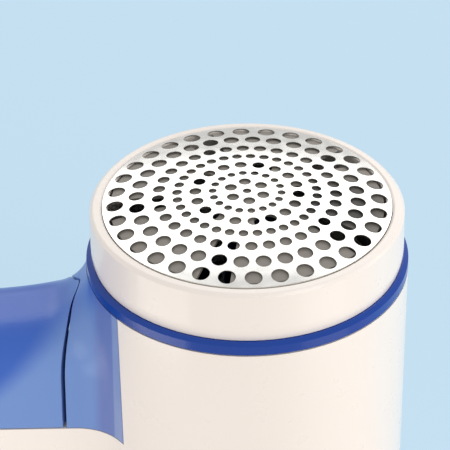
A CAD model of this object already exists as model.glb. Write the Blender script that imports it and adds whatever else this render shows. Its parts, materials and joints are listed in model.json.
import json
import math

import bpy
from mathutils import Matrix, Vector


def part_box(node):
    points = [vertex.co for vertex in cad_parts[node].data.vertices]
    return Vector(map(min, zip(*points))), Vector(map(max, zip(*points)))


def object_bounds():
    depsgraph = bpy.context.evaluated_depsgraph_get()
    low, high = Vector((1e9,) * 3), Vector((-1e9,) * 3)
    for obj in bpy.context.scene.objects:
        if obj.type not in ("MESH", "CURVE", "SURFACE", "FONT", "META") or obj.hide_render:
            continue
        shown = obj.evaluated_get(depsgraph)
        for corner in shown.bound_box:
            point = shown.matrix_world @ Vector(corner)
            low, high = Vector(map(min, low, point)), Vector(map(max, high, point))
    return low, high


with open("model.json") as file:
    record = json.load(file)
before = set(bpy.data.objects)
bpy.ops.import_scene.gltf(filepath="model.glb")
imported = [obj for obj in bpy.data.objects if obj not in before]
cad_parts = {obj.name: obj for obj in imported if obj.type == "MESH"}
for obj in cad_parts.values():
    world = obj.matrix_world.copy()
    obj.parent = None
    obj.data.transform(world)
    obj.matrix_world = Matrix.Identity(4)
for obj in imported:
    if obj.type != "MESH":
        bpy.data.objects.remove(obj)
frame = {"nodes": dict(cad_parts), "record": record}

CAD_LOW, CAD_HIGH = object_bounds()
NODES = frame["nodes"]

# Camera: looks along +Y and down at the foil, from a little left of the head
CAMERA_ELEVATION = 33.75
CAMERA_ROLL = -0.44
CAMERA_DISTANCE = 0.6332
CAMERA_RIGHT = -0.00381
CAMERA_UP = -0.00581
CAMERA_LENS = 296.6
SENSOR_WIDTH = 36.0
CLIP_NEAR = 0.05
CLIP_FAR = 20.0

# Colours, as display values
CREAM = (0.947, 0.922, 0.898)
CREAM_SHADE = (0.940, 0.900, 0.870)
RING_BLUE = (0.010, 0.240, 0.610)
RING_SHADE = (0.010, 0.190, 0.520)
CLEAR_BLUE = (0.225, 0.410, 0.790)
STEEL_BLUE = (0.480, 0.620, 0.860)
BACKDROP = (0.773, 0.879, 0.948)
APRON = (0.905, 0.880, 0.858)
BRIGHT_STEEL = (0.930, 0.930, 0.920)
BLADE_GREY = (0.555, 0.537, 0.512)
BLADE_SHADE = (0.510, 0.490, 0.465)
BLADE_STAIN = (0.150, 0.150, 0.150)
NAVY = (0.055, 0.110, 0.240)
VIOLET_BLUE = (0.400, 0.430, 0.720)
EDGE_LIGHT = (0.640, 0.740, 0.900)
WORN_SHADE = 0.85
SMOOTHEST = 0.02

# Light colours, as scene-linear values
WHITE = (1.0, 1.0, 1.0)
KEY_WARM = (1.0, 0.980, 0.955)
FILL_WARM = (1.0, 0.965, 0.940)
RIM_WARM = (1.0, 0.980, 0.950)
BACK_WARM = (1.0, 0.980, 0.960)
WORLD_WARM = (1.0, 0.985, 0.970, 1.0)
WORLD_STRENGTH = 0.64

# Places in the frame, in metres
CLEAR_FADE_DIRECTION = (0.707, 0, -0.707)
CLEAR_FADE = (-0.0530, -0.0485)
NECK_FADE = (-0.0272, -0.0250)
NECK_EDGE = (-0.02335, -0.0231)
BLADE_TOP = 0.061
STAIN_RIGHT = (0.0155, -0.002, BLADE_TOP)
STAIN_LEFT = (-0.0110, -0.001, BLADE_TOP)
FLOOR_SIZE = 8
FLOOR_FADE = (-0.030, 0.012)
FLOOR_GLOW = 0.80
FLOOR_BOUNCE = 0.20


def linear(colour):
    """Display colour to scene-linear, with alpha 1."""
    return tuple(c / 12.92 if c <= 0.04045 else ((c + 0.055) / 1.055) ** 2.4 for c in colour) + (1.0,)


# ---- Camera ----


def make_camera():
    """The camera, aimed from the foil's highest point."""
    foil_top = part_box("foil")[1].z
    elevation = math.radians(CAMERA_ELEVATION)
    roll = math.radians(CAMERA_ROLL)
    back = Vector((0, -math.cos(elevation), math.sin(elevation)))
    right = Vector((1, 0, 0))
    up = Vector((0, math.sin(elevation), math.cos(elevation)))
    spot = Vector((0, 0, foil_top)) + back * CAMERA_DISTANCE + right * CAMERA_RIGHT + up * CAMERA_UP
    rolled_right = right * math.cos(roll) + up * math.sin(roll)
    rolled_up = up * math.cos(roll) - right * math.sin(roll)
    data = bpy.data.cameras.new("camera")
    data.lens = CAMERA_LENS
    data.sensor_width = SENSOR_WIDTH
    data.clip_start = CLIP_NEAR
    data.clip_end = CLIP_FAR
    camera = bpy.data.objects.new("camera", data)
    camera.matrix_world = Matrix(
        (
            (rolled_right.x, rolled_up.x, back.x, spot.x),
            (rolled_right.y, rolled_up.y, back.y, spot.y),
            (rolled_right.z, rolled_up.z, back.z, spot.z),
            (0, 0, 0, 1),
        )
    )
    bpy.context.scene.collection.objects.link(camera)
    bpy.context.scene.camera = camera


make_camera()

# ---- Materials ----


class Shader:
    """A node material built round one Principled shader."""

    def __init__(self, name, colour, roughness, metallic=0.0):
        self.material = bpy.data.materials.new(name)
        self.material.use_nodes = True
        self.tree = self.material.node_tree
        self.bsdf = self.tree.nodes["Principled BSDF"]
        self.colour = linear(colour)
        self.roughness = roughness
        self.bsdf.inputs["Base Color"].default_value = self.colour
        self.bsdf.inputs["Roughness"].default_value = roughness
        self.bsdf.inputs["Metallic"].default_value = metallic
        self.tint = None
        self.place = self.tree.nodes.new("ShaderNodeTexCoord").outputs["Object"]

    def set(self, **values):
        """Sets uniform values on the shader's own sockets."""
        for name, value in values.items():
            self.bsdf.inputs[name.replace("_", " ")].default_value = value
        return self

    def noise(self, scale, detail=4.0, stretch=(1, 1, 1)):
        """A noise pattern in the object's own space, scale in features per metre."""
        mapping = self.tree.nodes.new("ShaderNodeMapping")
        mapping.inputs["Scale"].default_value = stretch
        self.tree.links.new(self.place, mapping.inputs["Vector"])
        node = self.tree.nodes.new("ShaderNodeTexNoise")
        node.inputs["Scale"].default_value = scale
        node.inputs["Detail"].default_value = detail
        self.tree.links.new(mapping.outputs["Vector"], node.inputs["Vector"])
        return node.outputs["Fac"]

    def ranged(self, fac, low, high, start=0.3, end=0.7):
        """Maps a pattern from start..end to low..high."""
        node = self.tree.nodes.new("ShaderNodeMapRange")
        self.tree.links.new(fac, node.inputs["Value"])
        node.inputs["From Min"].default_value = start
        node.inputs["From Max"].default_value = end
        node.inputs["To Min"].default_value = low
        node.inputs["To Max"].default_value = high
        return node.outputs["Result"]

    def ramp(self, direction, span):
        """A smooth step from 0 to 1 along a direction, between the two distances of a span in metres."""
        dot = self.tree.nodes.new("ShaderNodeVectorMath")
        dot.operation = "DOT_PRODUCT"
        dot.inputs[1].default_value = direction
        self.tree.links.new(self.place, dot.inputs[0])
        step = self.tree.nodes.new("ShaderNodeMapRange")
        step.interpolation_type = "SMOOTHSTEP"
        step.inputs["From Min"].default_value = span[0]
        step.inputs["From Max"].default_value = span[1]
        self.tree.links.new(dot.outputs["Value"], step.inputs["Value"])
        return step.outputs["Result"]

    def patch(self, centre, inner, outer):
        """1 within inner metres of a point, falling smoothly to 0 at outer."""
        reach = self.tree.nodes.new("ShaderNodeVectorMath")
        reach.operation = "DISTANCE"
        reach.inputs[1].default_value = centre
        self.tree.links.new(self.place, reach.inputs[0])
        fade = self.tree.nodes.new("ShaderNodeMapRange")
        fade.interpolation_type = "SMOOTHSTEP"
        fade.inputs["From Min"].default_value = outer
        fade.inputs["From Max"].default_value = inner
        self.tree.links.new(reach.outputs["Value"], fade.inputs["Value"])
        return fade.outputs["Result"]

    def vary_roughness(self, fac, amount):
        """Roughness goes up and down by amount with the pattern."""
        low = max(self.roughness - amount, SMOOTHEST)
        self.tree.links.new(self.ranged(fac, low, self.roughness + amount), self.bsdf.inputs["Roughness"])
        return self

    def mask_colour(self, mask, other, amount):
        """Mixes the colour towards other where a 0 to 1 mask says so."""
        return self.vary_colour(mask, other, amount, start=0.0, end=1.0)

    def vary_colour(self, fac, other, amount, start=0.3, end=0.7):
        """Mixes the colour so far towards other with the pattern."""
        mix = self.tree.nodes.new("ShaderNodeMix")
        mix.data_type = "RGBA"
        mix.inputs["A"].default_value = self.colour
        if self.tint:
            self.tree.links.new(self.tint, mix.inputs["A"])
        mix.inputs["B"].default_value = linear(other)
        self.tree.links.new(self.ranged(fac, 0.0, amount, start, end), mix.inputs["Factor"])
        self.tint = mix.outputs["Result"]
        self.tree.links.new(self.tint, self.bsdf.inputs["Base Color"])
        return self

    def bump(self, fac, height, strength=1.0):
        """Bump of a height in metres from the pattern."""
        node = self.tree.nodes.new("ShaderNodeBump")
        node.inputs["Strength"].default_value = strength
        node.inputs["Distance"].default_value = height
        self.tree.links.new(fac, node.inputs["Height"])
        self.tree.links.new(node.outputs["Normal"], self.bsdf.inputs["Normal"])
        return self


def cream_plastic():
    """Satin cream shell plastic."""
    s = Shader("cream_plastic", CREAM, roughness=0.30)
    s.set(Coat_Weight=0.3, Coat_Roughness=0.10, IOR=1.5)
    s.vary_roughness(s.noise(scale=220), amount=0.04)
    s.vary_colour(s.noise(scale=35, detail=2), CREAM_SHADE, amount=0.25)
    return s.bump(s.noise(scale=900, detail=1), height=0.000003).material


def blue_plastic():
    """Solid blue plastic of the height ring and the buttons."""
    s = Shader("blue_plastic", RING_BLUE, roughness=0.18)
    s.set(Specular_IOR_Level=0.45, IOR=1.5)
    s.vary_roughness(s.noise(scale=260), amount=0.03)
    s.vary_colour(s.noise(scale=60, detail=2), RING_SHADE, amount=0.35)
    return s.bump(s.noise(scale=1800, detail=2), height=0.000008).material


def blue_clear():
    """See-through blue plastic, paler towards the neck and at the cover's own edge."""
    s = Shader("blue_clear", CLEAR_BLUE, roughness=0.32)
    s.set(Transmission_Weight=0.12, Coat_Weight=0.08, Coat_Roughness=0.18, IOR=1.46)
    s.vary_roughness(s.noise(scale=150), amount=0.04)
    s.mask_colour(s.ramp(CLEAR_FADE_DIRECTION, CLEAR_FADE), STEEL_BLUE, amount=0.85)
    s.mask_colour(s.ramp((1, 0, 0), NECK_FADE), VIOLET_BLUE, amount=0.55)
    s.mask_colour(s.ramp((1, 0, 0), NECK_EDGE), EDGE_LIGHT, amount=0.45)
    return s.bump(s.noise(scale=900, detail=2), height=0.000008).material


def foil_steel():
    """Bright etched steel of the foil."""
    s = Shader("foil_steel", BRIGHT_STEEL, roughness=0.22, metallic=1.0)
    s.vary_roughness(s.noise(scale=400), amount=0.05)
    return s.bump(s.noise(scale=3000, detail=3), height=0.000004).material


def blade_steel():
    """Dull blade steel with two dark worn patches."""
    s = Shader("blade_steel", BLADE_GREY, roughness=0.55, metallic=0.1)
    s.vary_roughness(s.noise(scale=500, stretch=(1, 8, 1)), amount=0.08)
    s.vary_colour(s.noise(scale=90, detail=3), BLADE_SHADE, amount=0.5)
    s.mask_colour(s.patch(STAIN_RIGHT, inner=0.004, outer=0.0125), BLADE_STAIN, amount=0.85)
    s.mask_colour(s.patch(STAIN_LEFT, inner=0.003, outer=0.0130), BLADE_STAIN, amount=0.32)
    return s.bump(s.noise(scale=1500, detail=3, stretch=(1, 12, 1)), height=0.00001).material


def steel(name, colour, roughness):
    """Plain machined or plated metal of an inner piece."""
    s = Shader(name, colour, roughness, metallic=1.0)
    s.vary_roughness(s.noise(scale=600), amount=0.06)
    return s.bump(s.noise(scale=2000, detail=3), height=0.000006).material


def plastic(name, colour, roughness):
    """Plain moulded plastic or rubber of an inner piece, a little darker in patches."""
    s = Shader(name, colour, roughness)
    s.vary_roughness(s.noise(scale=300), amount=0.06)
    s.vary_colour(s.noise(scale=80, detail=2), tuple(c * WORN_SHADE for c in colour), amount=0.4)
    return s.bump(s.noise(scale=2200, detail=2), height=0.000015).material


MATERIALS = {
    "cream_plastic": cream_plastic(),
    "blue_plastic": blue_plastic(),
    "blue_clear": blue_clear(),
    "foil_steel": foil_steel(),
    "blade_steel": blade_steel(),
    "shaft_steel": steel("shaft_steel", (0.75, 0.75, 0.75), 0.2),
    "can_steel": steel("can_steel", (0.68, 0.68, 0.67), 0.35),
    "screw_steel": steel("screw_steel", (0.72, 0.71, 0.69), 0.28),
    "brass": steel("brass", (0.86, 0.72, 0.42), 0.3),
    "copper": steel("copper", (0.80, 0.45, 0.30), 0.35),
    "magnet": plastic("magnet", (0.13, 0.13, 0.14), 0.55),
    "dark_plastic": plastic("dark_plastic", NAVY, 0.4),
    "grey_plastic": plastic("grey_plastic", (0.52, 0.52, 0.53), 0.42),
    "rubber": plastic("rubber", (0.20, 0.21, 0.24), 0.7),
    "cell": plastic("cell", (0.16, 0.19, 0.27), 0.3),
    "board": plastic("board", (0.12, 0.34, 0.20), 0.35),
    "wire": plastic("wire", (0.62, 0.13, 0.12), 0.4),
}

for part in frame["record"]["subparts"]:
    slots = NODES[part["node"]].data.materials
    slots.clear()
    slots.append(MATERIALS[part["material_slot"]])

# ---- Stage and light ----


def make_floor():
    """A pale blue floor that glows softly and turns to warm paper in front of the object."""
    bpy.ops.mesh.primitive_plane_add(size=FLOOR_SIZE, location=(0, 0, 0))
    floor = bpy.context.object
    floor.name = "floor"
    s = Shader("floor", APRON, roughness=0.9)
    s.set(Specular_IOR_Level=0.0, Emission_Strength=FLOOR_GLOW)
    tint = s.vary_colour(s.ramp((0, 1, 0), FLOOR_FADE), BACKDROP, amount=1.0).tint
    dim = s.tree.nodes.new("ShaderNodeVectorMath")
    dim.operation = "SCALE"
    dim.inputs["Scale"].default_value = FLOOR_BOUNCE
    s.tree.links.new(tint, dim.inputs[0])
    s.tree.links.new(dim.outputs["Vector"], s.bsdf.inputs["Base Color"])
    s.tree.links.new(tint, s.bsdf.inputs["Emission Color"])
    floor.data.materials.append(s.material)


def area_light(name, place, size, power, colour=WHITE):
    """A soft rectangular light of a width and height, at place and facing the head."""
    head = Vector((0, 0, CAD_HIGH.z * 0.8))
    data = bpy.data.lights.new(name, "AREA")
    data.shape = "RECTANGLE"
    data.size, data.size_y = size
    data.energy = power
    data.color = colour
    light = bpy.data.objects.new(name, data)
    light.location = place
    light.rotation_euler = (head - Vector(place)).to_track_quat("-Z", "Y").to_euler()
    bpy.context.scene.collection.objects.link(light)


def make_world():
    """An even warm white surround."""
    world = bpy.data.worlds.new("studio")
    world.use_nodes = True
    background = world.node_tree.nodes["Background"]
    background.inputs["Color"].default_value = WORLD_WARM
    background.inputs["Strength"].default_value = WORLD_STRENGTH
    bpy.context.scene.world = world


make_floor()
area_light("key", place=(0.62, -0.70, 0.55), size=(0.5, 0.7), power=2.9, colour=KEY_WARM)
area_light("fill", place=(-0.60, -0.75, 0.20), size=(0.5, 0.5), power=1.5, colour=FILL_WARM)
area_light("rim", place=(1.0, 0.05, 0.20), size=(0.4, 0.5), power=3.3, colour=RIM_WARM)
area_light("low left", place=(-0.072, -0.047, 0.008), size=(0.060, 0.014), power=0.005)
area_light("low right", place=(0.066, -0.058, 0.008), size=(0.050, 0.014), power=0.0015)
area_light("back", place=(0.0, 0.95, 0.80), size=(1.5, 0.80), power=5.0, colour=BACK_WARM)
make_world()
bpy.context.scene.view_settings.view_transform = "Standard"
